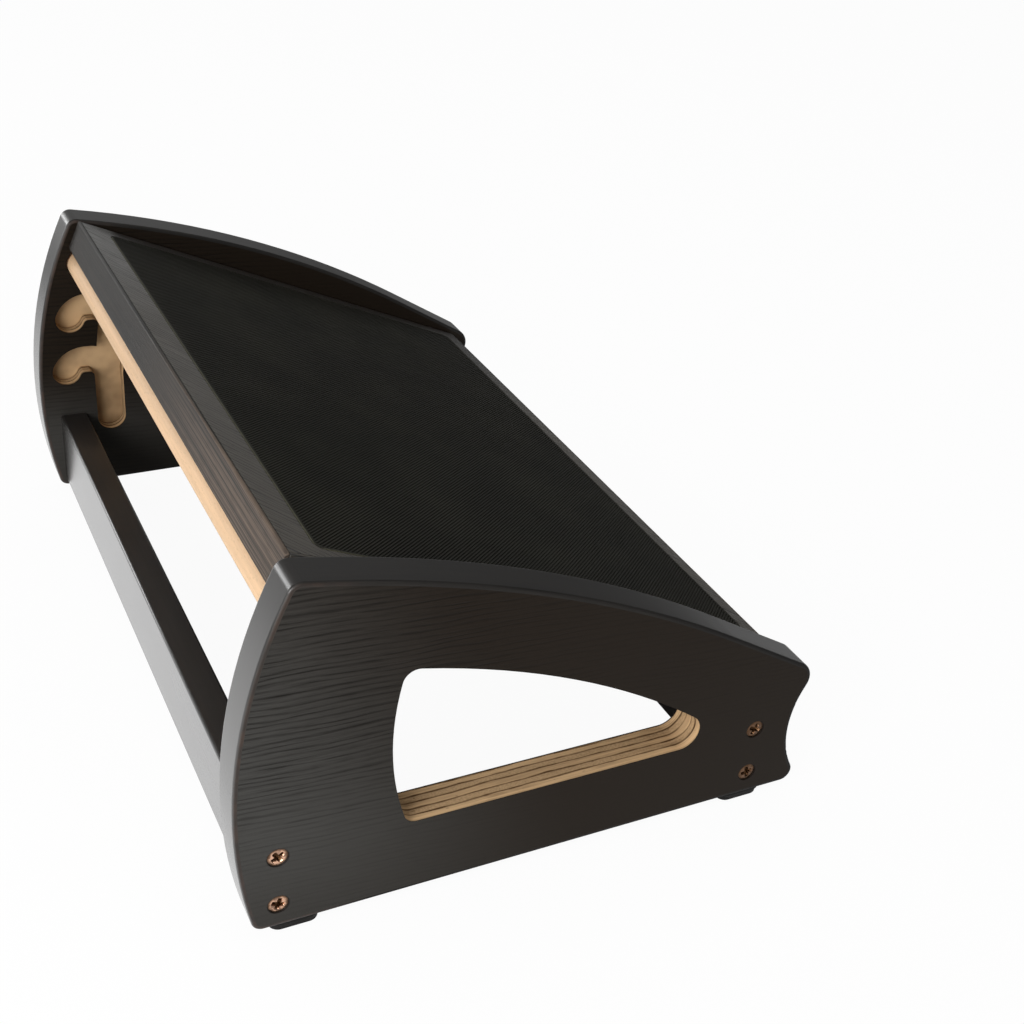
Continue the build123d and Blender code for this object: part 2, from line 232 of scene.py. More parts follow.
class Finish(Tree):
    """A material with one Principled shader, painted by lengths in the frame of the footrest."""

    def __init__(self, name, constants=None):
        self.material = bpy.data.materials.new(name)
        self.material.use_nodes = True
        super().__init__(self.material.node_tree)
        shader = self.node("ShaderNodeBsdfPrincipled", None, constants)
        self.inlets = shader.socket.node.inputs
        self.node("ShaderNodeOutputMaterial", None, {"Surface": shader})
        self.place = self.node("ShaderNodeTexCoord", outlet="Object")

    def along(self, way):
        """Millimetres along one direction."""
        scaled = tuple(part / MILLIMETRE for part in way)
        settings = {"operation": "DOT_PRODUCT"}
        return self.node("ShaderNodeVectorMath", settings, {0: self.place, 1: scaled}, "Value")

    def lengths(self, ways):
        """Millimetres along each of some directions."""
        return [self.along(way) for way in ways]

    def facing(self, way):
        """1 where a face looks straight along one direction or against it, 0 where it is edge on."""
        normal = self.node("ShaderNodeNewGeometry", outlet="True Normal")
        settings = {"vector_type": "NORMAL", "convert_from": "WORLD", "convert_to": "OBJECT"}
        turned = self.node("ShaderNodeVectorTransform", settings, {"Vector": normal})
        settings = {"operation": "DOT_PRODUCT"}
        return abs(self.node("ShaderNodeVectorMath", settings, {0: turned, 1: tuple(way)}, "Value"))

    def distance(self, length, height, *places):
        """Millimetres to the nearest of some places, given by depth and height."""
        here = self.node("ShaderNodeCombineXYZ", None, {0: length, 1: height})
        settings = {"operation": "DISTANCE"}
        spans = []
        for spot in places:
            spans.append(self.node("ShaderNodeVectorMath", settings, {0: here, 1: (*spot, 0)}, "Value"))
        nearest = spans[0]
        for span in spans[1:]:
            nearest = nearest.least(span)
        return nearest

    def noise(self, x, y, z, detail=2.0, roughness=0.5):
        """Noise from 0 to 1, with lumps about one unit wide."""
        vector = self.node("ShaderNodeCombineXYZ", None, {0: x, 1: y, 2: z})
        sockets = {"Vector": vector, "Scale": 1.0, "Detail": detail, "Roughness": roughness}
        return self.node("ShaderNodeTexNoise", None, sockets)

    def mix(self, share, first, second):
        """Two colours mixed by a share from 0 to 1."""
        settings = {"data_type": "RGBA"}
        return self.node("ShaderNodeMix", settings, {0: share, 6: opaque(first), 7: opaque(second)}, 2)

    def surface(self, colour, roughness, relief=None, depth=0.0):
        """Feeds the shader. A relief of 0 to 1 stands this many millimetres deep."""
        self.feed(self.inlets["Base Color"], opaque(colour))
        self.feed(self.inlets["Roughness"], roughness)
        if relief:
            sockets = {"Height": relief, "Strength": 1.0, "Distance": depth * MILLIMETRE}
            self.feed(self.inlets["Normal"], self.node("ShaderNodeBump", None, sockets))
        return self.material


def opaque(colour):
    """A colour as a colour socket takes it."""
    return colour if isinstance(colour, Wire) else (*colour, 1.0)


def shade(colour, share):
    """A colour made darker by a share below 1, or paler by one above it."""
    return tuple(share * part for part in colour)


class WoodSettings(bpy.types.PropertyGroup):
    """Colours and grain of the wooden pieces"""

    pore_colour: FloatVectorProperty(
        name="Pores", description="Colour of the veneer in its pores", subtype="COLOR",
        default=(0.0055, 0.0045, 0.0036), min=0, max=1,
    )
    veneer_colour: FloatVectorProperty(
        name="Veneer", description="Colour of the veneer between its pores", subtype="COLOR",
        default=(0.0530, 0.0518, 0.0484), min=0, max=1,
    )
    board_colour: FloatVectorProperty(
        name="Platform veneer", description="Colour of the platform's veneer between its pores",
        subtype="COLOR", default=(0.0620, 0.0520, 0.0370), min=0, max=1,
    )
    # Partly the veneer's own browner tone, partly painted shade: at the panels' heel end and along the
    # platform's right border
    heel_tone_and_shade_colour: FloatVectorProperty(
        name="Veneer at the heel", description="Colour of the side panels' veneer towards the heel end",
        subtype="COLOR", default=(0.0150, 0.0105, 0.0070), min=0, max=1,
    )
    band_colour: FloatVectorProperty(
        name="Edge band", description="Colour of the bands round the side panels", subtype="COLOR",
        default=(0.0150, 0.0128, 0.0108), min=0, max=1,
    )
    streak_colour: FloatVectorProperty(
        name="Brown streaks", description="Colour of the browned streaks in the end strips",
        subtype="COLOR", default=(0.160, 0.118, 0.090), min=0, max=1,
    )
    stretcher_colour: FloatVectorProperty(
        name="Stretchers", description="Colour of the boards between the side panels", subtype="COLOR",
        default=(0.0125, 0.0096, 0.0082), min=0, max=1,
    )
    # The worn arrises' own colour; darkened, it is also the painted shade round the screw seats
    arris_and_shade_colour: FloatVectorProperty(
        name="Arrises", description="Colour of the worn arrises of the bands", subtype="COLOR",
        default=(0.048, 0.027, 0.018), min=0, max=1,
    )
    ply_colour: FloatVectorProperty(
        name="Plies", description="Colour of the bare plies", subtype="COLOR",
        default=(0.66, 0.445, 0.245), min=0, max=1,
    )
    glue_colour: FloatVectorProperty(
        name="Glue lines", description="Colour of the glue lines between the plies", subtype="COLOR",
        default=(0.080, 0.040, 0.018), min=0, max=1,
    )
    beech_colour: FloatVectorProperty(
        name="Beech", description="Colour of the bare rod", subtype="COLOR",
        default=(0.73, 0.495, 0.300), min=0, max=1,
    )
    ply_count: IntProperty(
        name="Plies in a panel", description="Number of plies between the two veneers",
        default=5, min=3, max=11,
    )
    veneer_thickness: FloatProperty(
        name="Veneer thickness", description="Thickness of the veneer on each face", subtype="DISTANCE",
        default=0.0007, min=0.0002, max=0.002,
    )
    grain_pitch: FloatProperty(
        name="Grain pitch", description="Spacing of the streaks in the veneer", subtype="DISTANCE",
        default=0.0028, min=0.001, max=0.02,
    )


class MatSettings(bpy.types.PropertyGroup):
    """Sizes and colour of the anti-slip mat"""

    rib_pitch: FloatProperty(
        name="Rib pitch", description="Spacing of the ribs", subtype="DISTANCE",
        default=0.0014, min=0.0008, max=0.01,
    )
    rib_height: FloatProperty(
        name="Rib height", description="Height of a rib", subtype="DISTANCE",
        default=0.0006, min=0.0001, max=0.0015,
    )
    rib_angle: FloatProperty(
        name="Rib angle", description="Turn of the ribs from the width towards the heel", subtype="ANGLE",
        default=radians(45), min=radians(10), max=radians(80),
    )
    rim_width: FloatProperty(
        name="Rim width", description="Width of the plain rim", subtype="DISTANCE",
        default=0.0014, min=0.0008, max=0.01,
    )
    rim_round: FloatProperty(
        name="Rim round", description="Radius of the rim's upper edge", subtype="DISTANCE",
        default=0.0004, min=0.0001, max=0.0007,
    )
    corner_round: FloatProperty(
        name="Corner radius", description="Radius of the mat's corners", subtype="DISTANCE",
        default=0.005, min=0.003, max=0.05,
    )
    rubber_colour: FloatVectorProperty(
        name="Rubber", description="Colour of the mat", subtype="COLOR",
        default=(0.0172, 0.0162, 0.0104), min=0, max=1,
    )


class HardwareSettings(bpy.types.PropertyGroup):
    """Colours of screws, pins, bushes and feet"""

    copper_colour: FloatVectorProperty(
        name="Screws", description="Colour of the plated screws", subtype="COLOR",
        default=(0.72, 0.44, 0.30), min=0, max=1,
    )
    recess_reach: FloatProperty(
        name="Recess reach", description="Length of each arm of a screw's cross recess",
        subtype="DISTANCE", default=0.0031, min=0.001, max=0.004,
    )
    recess_width: FloatProperty(
        name="Recess width", description="Width of the arms of a screw's cross recess",
        subtype="DISTANCE", default=0.0017, min=0.0005, max=0.002,
    )
    recess_depth: FloatProperty(
        name="Recess depth", description="Depth of a screw's cross recess", subtype="DISTANCE",
        default=0.0022, min=0.0005, max=0.003,
    )
    head_ease: FloatProperty(
        name="Head gap", description="Gap between a screw's head and its seat", subtype="DISTANCE",
        default=0.0002, min=0, max=0.0005,
    )
    # Tarnish in the recesses; darkened, it is also the painted shade round the rims and towards the heel
    tarnish_and_shade_colour: FloatVectorProperty(
        name="Recesses", description="Colour of the plating in the recesses", subtype="COLOR",
        default=(0.095, 0.048, 0.022), min=0, max=1,
    )
    steel_colour: FloatVectorProperty(
        name="Steel", description="Colour of pins and foot screws", subtype="COLOR",
        default=(0.56, 0.56, 0.57), min=0, max=1,
    )
    bush_colour: FloatVectorProperty(
        name="Bushes", description="Colour of the moulded bushes", subtype="COLOR",
        default=(0.018, 0.018, 0.018), min=0, max=1,
    )
    foot_colour: FloatVectorProperty(
        name="Feet", description="Colour of the rubber feet", subtype="COLOR",
        default=(0.012, 0.0115, 0.011), min=0, max=1,
    )


class StudioSettings(bpy.types.PropertyGroup):
    """Camera, lamps and floor"""

    camera_place: FloatVectorProperty(
        name="Camera", description="Where the camera stands", subtype="TRANSLATION",
        default=(-0.660721, 0.266291, 0.493307),
    )
    camera_aim: FloatVectorProperty(
        name="Aim", description="The point in the middle of the view", subtype="TRANSLATION",
        default=(0.0, -0.087056, 0.052815),
    )
    camera_roll: FloatProperty(
        name="Roll", description="Turn of the camera about its line of view", subtype="ANGLE",
        default=radians(4.79),
    )
    lens: FloatProperty(
        name="Lens", description="Focal length in millimetres", unit="CAMERA",
        default=52.03, min=10, max=200,
    )
    ambient: FloatProperty(
        name="Ambient", description="Strength of the light from all round", subtype="FACTOR",
        default=0.45, min=0, max=1,
    )
    ceiling: FloatProperty(
        name="Ceiling", description="Brightness of the ceiling in reflections", subtype="FACTOR",
        default=0.10, min=0, max=1,
    )
    back_wall: FloatProperty(
        name="Back wall", description="Brightness of the wall behind the heel end in reflections",
        subtype="FACTOR", default=0.14, min=0, max=1,
    )
    far_floor: FloatProperty(
        name="Far floor", description="Brightness of the floor away from the footrest in reflections",
        subtype="FACTOR", default=0.28, min=0, max=1,
    )
    floor_colour: FloatVectorProperty(
        name="Floor", description="Colour of the floor", subtype="COLOR",
        default=(0.86, 0.86, 0.86), min=0, max=1,
    )
    floor_white: FloatProperty(
        name="Floor white", description="Share of plain white in the look of the floor",
        subtype="FACTOR", default=0.95, min=0, max=1,
    )
    floor_size: FloatProperty(
        name="Floor size", description="Length of the floor's sides", subtype="DISTANCE",
        default=24.0, min=2, max=100,
    )


def dress(finish, *names):
    """Gives pieces of the frame one finish."""
    for name in names:
        materials = frame["nodes"][name].data.materials
        materials.clear()
        materials.append(finish)


def ease_edges(radius, *names):
    """Rounds the sharp edges of pieces of the frame, as sanding or moulding leaves them."""
    for name in names:
        piece = frame["nodes"][name]
        weld = piece.modifiers.new("joined_faces", "WELD")
        weld.merge_threshold = 1e-6
        flats = piece.modifiers.new("whole_faces", "DECIMATE")
        flats.decimate_type = "DISSOLVE"
        flats.angle_limit = radians(0.5)
        bevel = piece.modifiers.new("eased_edges", "BEVEL")
        bevel.width = radius
        bevel.segments = 2
        bevel.limit_method = "ANGLE"
        bevel.angle_limit = radians(40)
        bevel.harden_normals = True


def veneer(finish, wood, colour, grain, across, depth, strength=1.0):
    """Open-pored veneer: colour, roughness and relief, by lengths along and across the grain."""
    pitch = wood.grain_pitch / MILLIMETRE
    sway = finish.noise(grain / 90, across / 35, depth / 40)
    drift = across + sway * 6 - grain * 0.06
    wander = finish.noise(grain / 45, drift / 5, depth / 9)
    ridge = abs((drift / pitch + wander * 1.4) % 1.0 - 0.5) * 2
    fade = finish.noise(grain / 28, drift / 3, depth / 9).rise(0.34, 0.62)
    bands = ridge.rise(0.40, 1.0) * (fade * 0.7 + 0.3)
    fine = finish.noise(grain / 15, drift / 0.7, depth / 5, detail=3.0, roughness=0.65).rise(0.38, 0.70)
    level = 1 - (bands * 0.75 + fine * 0.36) * strength
    return finish.mix(level, wood.pore_colour, colour), 0.56 - level * 0.12, level


def bare_plies(finish, wood, depth, length, height):
    """Plywood seen from its edge: crossed plies and glue lines, by the depth below the inner face."""
    skin = wood.veneer_thickness / MILLIMETRE
    pitch = (PANEL_THICKNESS - 2 * skin) / wood.ply_count
    waver = finish.noise(length / 30, height / 30, depth / 8)
    layer = (depth - skin + (waver - 0.5) * 2.4) / pitch
    bleed = finish.noise(length / 11, height / 11, depth / 2.5, detail=3.0)
    glue = (abs(layer % 1.0 - 0.5) + bleed * 0.24).rise(0.42, 0.60)
    long_grain = finish.noise(length / 26, depth / 0.6, height / 26, detail=3.0, roughness=0.65)
    end_grain = finish.noise(length / 1.1, depth / 0.9, height / 1.1)
    crossed = (layer * 0.5 % 1.0).rise(0.49, 0.51)
    figure = long_grain * (1 - crossed) + end_grain * crossed
    pale = finish.mix(figure.rise(0.28, 0.72), shade(wood.ply_colour, 0.66), wood.ply_colour)
    plain = finish.mix(crossed * 0.45, pale, shade(wood.ply_colour, 0.42))
    blotch = finish.noise(length / 18, depth / 4, height / 18).rise(0.52, 0.82)
    stained = finish.mix(blotch * 0.4, plain, wood.glue_colour)
    off_floor = abs(depth - (SLOT_FLOOR - PANEL_INNER)).rise(0.5, 1.0)
    specks = finish.noise(length / 3.5, depth / 1.2, height / 3.5).rise(0.66, 0.76) * off_floor
    glued = finish.mix((glue * (bleed * 0.9 + 0.4)).most(specks * 0.5), stained, wood.glue_colour)
    # The outermost ply is kept pale: a painted highlight along the outer arris of the bare edges
    outer_depth = PANEL_THICKNESS - depth
    outer_ply_highlight = 1 - outer_depth.rise(1.6, 2.4)
    edged = finish.mix(outer_ply_highlight * 0.6, glued, wood.ply_colour)
    inner_skin = 1 - depth.rise(skin * 0.5, skin)
    outer_skin = 1 - outer_depth.rise(skin * 0.2, skin * 0.4)
    return finish.mix(inner_skin.most(outer_skin), edged, wood.pore_colour), figure * (1 - glue)


def panel_finish(wood):
    """Dark veneer on the faces, greyer with a painted sheen towards the toe and browner with painted
    shade towards the heel, and bare plies in the window and the slots.
    """
    finish = Finish("panel_veneer", {"Specular IOR Level": 0.07})
    width, length, height = finish.lengths(FRAME_WAYS)
    reach = abs(width)
    depth = reach - PANEL_INNER
    # The veneer is greyer towards the toe, and stays brown high up on the inner face and along the floor:
    # partly the veneer's own tone, partly a painted sheen at the toe and painted shade at the heel, high
    # on the inner face and near the floor
    outside = depth.rise(4, 16).most(1 - height.rise(25, 95))
    above_floor = height.rise(0, 60) * 0.4 + 0.6
    grey_and_sheen_share = (length - height * 0.5).rise(-40, 110) * above_floor * outside
    tone_and_painted_light = finish.mix(grey_and_sheen_share, wood.heel_tone_and_shade_colour, wood.veneer_colour)
    strength = (length.rise(-40, 90) * 0.62 + 0.22) * (height.rise(30, 105) * 0.8 + 0.2)
    face_colour, face_roughness, face_relief = veneer(finish, wood, tone_and_painted_light, length, height, depth, strength)
    edge_colour, ply_relief = bare_plies(finish, wood, depth, length, height)
    wall = 1 - finish.facing(WIDTH_WAY).rise(0.4, 0.6)
    slot_floor = 1 - abs(reach - SLOT_FLOOR).rise(1.0, 2.0)
    ply_colour = finish.mix(slot_floor * 0.16, edge_colour, wood.glue_colour)
    from_screw = finish.distance(length, height, *SCREW_PLACES)
    bare = wall.most(slot_floor) * from_screw.rise(5.6, 6.0)
    colour = finish.mix(bare, face_colour, ply_colour)
    # A painted shade ring round each screw's seat, where the countersink shades the veneer
    seat = 1 - from_screw.rise(4.7, 5.5)
    shaded_seats = finish.mix(seat * 0.8, colour, shade(wood.arris_and_shade_colour, 0.15))
    roughness = face_roughness * (1 - bare) + bare * 0.65
    relief = face_relief * (1 - bare) + ply_relief * bare
    return finish.surface(shaded_seats, roughness, relief, 0.14)


def band_finish(wood):
    """Satin band with faint streaks along it, brown on its toe arrises and polished at its two ends."""
    finish = Finish("edge_band", {"Specular IOR Level": 0.38, "Coat Roughness": 0.22, "Coat IOR": 1.7})
    width, length, height = finish.lengths(FRAME_WAYS)
    reach = abs(width)
    streaks = finish.noise(length / 60, height / 60, width / 0.9, detail=3.0, roughness=0.6)
    grit = finish.noise(length / 0.7, height / 0.7, width / 0.7)
    plain = finish.mix(streaks.rise(0.3, 0.7), shade(wood.band_colour, 0.5), wood.band_colour)
    worn = finish.noise(length / 7, height / 7, width / 3, detail=3.0).rise(0.3, 0.7)
    arris = 1 - (PANEL_OUTER - reach).least(reach - PANEL_INNER).rise(0.1, 0.9)
    toe_share = length.rise(80, 125)
    colour = finish.mix(arris * (worn * 0.5 + 0.2) * toe_share, plain, wood.arris_and_shade_colour)
    roughness = 0.42 + streaks * 0.12 + arris * (1 - toe_share) * 0.4
    finish.feed(finish.inlets["Coat Weight"], finish.facing(DEPTH_WAY).rise(0.40, 0.85))
    return finish.surface(colour, roughness, streaks * 0.7 + grit * 0.3, 0.02)


def stretcher_finish(wood):
    """Boards streaked along the width, with most lacquer on their broad faces."""
    lacquer = {"Specular IOR Level": 0.8, "Coat Roughness": 0.18, "Coat IOR": 1.8}
    finish = Finish("stretcher_board", lacquer)
    width, length, height = finish.lengths(FRAME_WAYS)
    streaks = finish.noise(width / 90, length / 1.6, height / 1.6, detail=4.0, roughness=0.65)
    mottle = finish.noise(width / 30, length / 9, height / 9)
    colour = finish.mix(streaks.rise(0.3, 0.7), shade(wood.stretcher_colour, 0.55), wood.stretcher_colour)
    finish.feed(finish.inlets["Coat Weight"], finish.facing(DEPTH_WAY).rise(0.40, 0.85) * 0.8 + 0.2)
    return finish.surface(colour, 0.40 + mottle * 0.1, streaks, 0.012)


def platform_finish(wood, name, grain_way, across_way, depth_way):
    """Dark veneer along one direction of the platform, with a painted sheen at its right toe corner and
    painted shade behind it.
    """
    finish = Finish(name, {"Specular IOR Level": 0.9})
    grain, across, depth = finish.lengths((grain_way, across_way, depth_way))
    # On the right side: a painted sheen on the toe border and painted shade behind it, beside the right
    # panel
    right_share = finish.along(WIDTH_WAY).rise(20, 190)
    mat_toe = (MAT_MIDDLE.dot(PLATFORM_TOE) + mat_span()[1] / 2) / MILLIMETRE
    toe_share = finish.along(PLATFORM_TOE).rise(mat_toe - 8, mat_toe + 2)
    right_sheen_and_shade = finish.mix(toe_share, wood.heel_tone_and_shade_colour, shade(wood.veneer_colour, 2.4))
    tone_and_painted_light = finish.mix(right_share, wood.board_colour, right_sheen_and_shade)
    colour, roughness, relief = veneer(finish, wood, tone_and_painted_light, grain, across, depth)
    return finish.surface(colour, roughness, relief, 0.22)


def strip_finish(wood):
    """Veneer of the toe and heel strips: grey streaks along the width, browner towards the left side."""
    finish = Finish("strip_veneer", {"Specular IOR Level": 0.16})
    width, length, height = finish.lengths(PLATFORM_WAYS)
    across = height + length
    drift = across + finish.noise(width / 120, across / 20, 3.0) * 3
    streaks = finish.noise(width / 160, drift / 0.8, 7.0, detail=3.0, roughness=0.6).rise(0.34, 0.66)
    browned = finish.noise(width / 210, drift / 0.6, 11.0).rise(0.30, 0.70)
    left_share = (0 - width).rise(-60, 190)
    pores = finish.noise(width / 14, drift / 0.4, 5.0).rise(0.52, 0.68)
    plain = finish.mix(streaks, shade(wood.veneer_colour, 0.20), shade(wood.veneer_colour, 0.60))
    warm = finish.mix(browned * (left_share * 0.75 + 0.1), plain, wood.streak_colour)
    colour = finish.mix(pores * 0.4, warm, wood.pore_colour)
    return finish.surface(colour, 0.46 + streaks * 0.1, streaks * 0.6 - pores * 0.4, 0.06)


def rod_finish(wood):
    """Sanded beech with short dark flecks along the rod."""
    finish = Finish("bare_beech", {"Specular IOR Level": 0.3})
    width, length, height = finish.lengths(FRAME_WAYS)
    figure = finish.noise(width / 80, length / 2.2, height / 2.2, detail=3.0, roughness=0.6)
    flecks = finish.noise(width / 2.6, length / 0.42, height / 0.42).rise(0.60, 0.70)
    plain = finish.mix(figure.rise(0.3, 0.7), shade(wood.beech_colour, 0.86), wood.beech_colour)
    colour = finish.mix(flecks * 0.45, plain, shade(wood.beech_colour, 0.55))
    return finish.surface(colour, 0.52 + figure * 0.1, figure * 0.6 - flecks * 0.4, 0.03)


def mat_finish(mat):
    """Black rubber, a little dusty, with a painted highlight along its rim."""
    finish = Finish("mat_rubber", {"Specular IOR Level": 0.25})
    width, length, height = finish.lengths(PLATFORM_WAYS)
    dust = finish.noise(width / 40, length / 40, height / 40, detail=3.0)
    grit = finish.noise(width / 0.25, length / 0.25, height / 0.25)
    dusty = finish.mix(dust.rise(0.3, 0.8), shade(mat.rubber_colour, 0.8), shade(mat.rubber_colour, 1.25))
    half_width, half_length = (span / 2 / MILLIMETRE for span in mat_span()[:2])
    middle = MAT_MIDDLE.dot(PLATFORM_TOE) / MILLIMETRE
    inside = (half_width - abs(width)).least(half_length - abs(length - middle))
    # A paler band along the mat's rim: a painted highlight
    rim_highlight = 1 - inside.rise(0.1, 0.7)
    colour = finish.mix(rim_highlight, dusty, shade(mat.rubber_colour, 4))
    return finish.surface(colour, 0.62 + grit * 0.15, grit, 0.02)


def copper_finish(hardware):
    """Plating, tarnished in the recesses, with painted shade round the heads' rims and towards the heel.
    """
    finish = Finish("copper_screw", {"Metallic": 1.0})
    width, length, height = finish.lengths(FRAME_WAYS)
    reach = abs(width)
    wear = finish.noise(length / 2.2, height / 2.2, reach / 3, detail=3.0)
    scratches = finish.noise(length / 0.5, height / 0.5, reach / 2)
    # Painted shade round the rims and towards the heel; tarnish in the recesses
    rim = finish.distance(length, height, *SCREW_PLACES).rise(3.2, 4.4)
    deep = 1 - reach.rise(PANEL_OUTER - 1.3, PANEL_OUTER - 0.6)
    heel_shade = 1 - length.rise(-80, 90)
    copper = hardware.copper_colour
    tarnish_and_shade = hardware.tarnish_and_shade_colour
    bright = finish.mix(wear.rise(0.40, 0.60), shade(copper, 0.35), copper)
    darker = finish.mix(heel_shade * 0.9, bright, shade(tarnish_and_shade, 0.8))
    rim_shaded = finish.mix(rim * 0.85, darker, shade(tarnish_and_shade, 0.7))
    colour = finish.mix(deep, rim_shaded, tarnish_and_shade)
    return finish.surface(colour, 0.16 + wear * 0.2 + deep * 0.2, wear * 0.8 + scratches * 0.2, 0.5)


def steel_finish(hardware):
    """Turned steel."""
    finish = Finish("bright_steel", {"Metallic": 1.0})
    width, length, height = finish.lengths(FRAME_WAYS)
    turning = finish.noise(width / 0.15, length / 6, height / 6)
    colour = finish.mix(turning, shade(hardware.steel_colour, 0.85), hardware.steel_colour)
    return finish.surface(colour, 0.25 + turning * 0.15, turning, 0.01)


def moulded_finish(name, colour, gloss, roughness, grit_size):
    """Moulded plastic or rubber with a fine grit."""
    finish = Finish(name, {"Specular IOR Level": gloss})
    place = finish.lengths(FRAME_WAYS)
    grit = finish.noise(*[part / grit_size for part in place])
    cloud = finish.noise(*[part / 6 for part in place], detail=3.0)
    mottled = finish.mix(cloud.rise(0.3, 0.7), shade(colour, 0.75), shade(colour, 1.2))
    return finish.surface(mottled, roughness + cloud * 0.12, grit, 0.03)


def mat_span():
    """Width, length and thickness of the mat in the frame, along the platform."""
    points = [vertex.co - MAT_MIDDLE for vertex in frame["nodes"]["anti_slip_mat"].data.vertices]
    spans = []
    for way in PLATFORM_WAYS:
        reach = [point.dot(way) for point in points]
        spans.append(max(reach) - min(reach))
    return spans


def rounded_reach(start, way, half_width, half_length, corner):
    """Distance from a point inside a rectangle with round corners to its outline."""
    near = 0.0
    far = 2 * hypot(half_width, half_length)
    for _ in range(HALVINGS):
        middle = (near + far) / 2
        point = start + way * middle
        over_x = max(abs(point.x) - half_width + corner, 0.0)
        over_y = max(abs(point.y) - half_length + corner, 0.0)
        if hypot(over_x, over_y) <= corner:
            near = middle
        else:
            far = middle
    return near


def rib_lines(mat, half_width, half_length, corner):
    """Both ends of every line across the ribbed field, with its height below the crests."""
    rib = Vector((cos(mat.rib_angle), -sin(mat.rib_angle)))
    across = Vector((sin(mat.rib_angle), cos(mat.rib_angle)))
    core = Vector((half_width - corner, half_length - corner))
    edge = core.dot(across) + corner
    first = FIELD_MARGIN - edge
    for number in range(int(2 * edge / mat.rib_pitch) + 1):
        for share, dip in RIB_PROFILE:
            offset = first + (number + share) * mat.rib_pitch
            if offset < -first:
                # Each line is followed both ways from where it crosses the diagonal of the field
                start = core * (offset / edge)
                start = start + across * (offset - start.dot(across))
                ends = []
                for way in (-rib, rib):
                    reach = rounded_reach(start, way, half_width, half_length, corner)
                    ends.append(start + way * reach)
                yield ends, -dip * mat.rib_height


def ribbed_mat(mat):
    """The mat as one closed mesh: ribbed field, plain rim, rounded edge, walls and underside."""
    width, length, thickness = mat_span()
    inset = mat.rim_width
    field = (width / 2 - inset, length / 2 - inset, mat.corner_round - inset)
    lines = list(rib_lines(mat, *field))
    loop = [(ends[0], dip) for ends, dip in lines] + [(ends[1], dip) for ends, dip in reversed(lines)]
    core = Vector((field[0] - field[2], field[1] - field[2]))
    fall = mat.rim_round
    # Each ring's way out from the ribbed field, and its height, or None where it follows the ribs
    rings = [(0.0, None), (0.0, 0.0), (inset - fall, 0.0)]
    rings += [(inset - 0.3 * fall, -0.3 * fall), (inset, -fall), (inset, -thickness)]
    shape = bmesh.new()
    rows = []
    for out, height in rings:
        row = []
        for point, dip in loop:
            centre = Vector((clamp(point.x, core.x), clamp(point.y, core.y)))
            spot = point + (point - centre).normalized() * out
            row.append(shape.verts.new(platform_point(spot, dip if height is None else height)))
        rows.append(row)
    size = len(loop)
    for inner, outer in zip(rows, rows[1:]):
        for here in range(size):
            after = (here + 1) % size
            shape.faces.new((inner[here], inner[after], outer[after], outer[here]))
    for row in (rows[0], rows[-1]):
        for here in range(len(lines) - 1):
            shape.faces.new((row[here], row[here + 1], row[size - 2 - here], row[size - 1 - here]))
    bmesh.ops.remove_doubles(shape, verts=rows[0] + rows[1], dist=1e-7)
    return finished_piece("ribbed_mat", shape)


def clamp(value, limit):
    """A value kept within a limit on both sides of zero."""
    return max(-limit, min(limit, value))


def platform_point(spot, height):
    """A point on the mat by its place on the platform and its height above the mat's top."""
    return MAT_MIDDLE + WIDTH_WAY * spot.x + PLATFORM_TOE * spot.y + PLATFORM_UP * height


def recess_at(hardware, radius, angle):
    """Depth of the cross recess at a point of a screw's head."""
    deepest = 0.0
    for arm_angle in (angle, angle + pi / 2):
        out = abs(radius * cos(arm_angle)) / hardware.recess_reach
        off = abs(radius * sin(arm_angle)) / (hardware.recess_width / 2)
        if out < 1:
            # The walls slope a little, and the floor rises towards the arm's end
            wall = max(0.0, min(1.0, (1.25 - off) / 0.5))
            deepest = max(deepest, hardware.recess_depth * wall * (1 - out ** 2) ** 0.7)
    return deepest


def cross_screw(hardware, node, turn):
    """A countersunk screw in place of one of the frame's, with a domed head and a cross recess."""
    low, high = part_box(node)
    side = 1 if high.x > 0 else -1
    top = max(abs(low.x), abs(high.x))
    tip = min(abs(low.x), abs(high.x))
    head = (high.y - low.y) / 2 - hardware.head_ease
    shank = SHANK_RADIUS
    rim_foot = HEAD_DOME + HEAD_RIM
    # Each ring's radius, and its depth below the top, or None where it follows the dome and the recess
    rings = [(head * step / HEAD_RINGS, None) for step in range(1, HEAD_RINGS + 1)]
    rings += [(head, rim_foot), (shank, rim_foot + head - shank)]
    rings += [(shank, top - tip - 2 * shank), (0.25 * shank, top - tip)]
    shape = bmesh.new()

    def vertex(radius, angle, depth):
        if depth is None:
            depth = HEAD_DOME * (radius / head) ** 2 + recess_at(hardware, radius, angle - turn)
        across = (low.y + high.y) / 2 + radius * cos(angle)
        height = (low.z + high.z) / 2 + radius * sin(angle)
        return shape.verts.new((side * (top - depth), across, height))

    angles = [2 * pi * number / HEAD_SIDES for number in range(HEAD_SIDES)]
    rows = [[vertex(radius, angle, depth) for angle in angles] for radius, depth in rings]
    middle = vertex(0.0, 0.0, None)
    end = vertex(0.0, 0.0, top - tip)
    for here in range(HEAD_SIDES):
        after = (here + 1) % HEAD_SIDES
        shape.faces.new((middle, rows[0][here], rows[0][after]))
        shape.faces.new((end, rows[-1][here], rows[-1][after]))
        for inner, outer in zip(rows, rows[1:]):
            shape.faces.new((inner[here], inner[after], outer[after], outer[here]))
    return finished_piece(f"{node}_detailed", shape, smooth=HEAD_SMOOTHING)


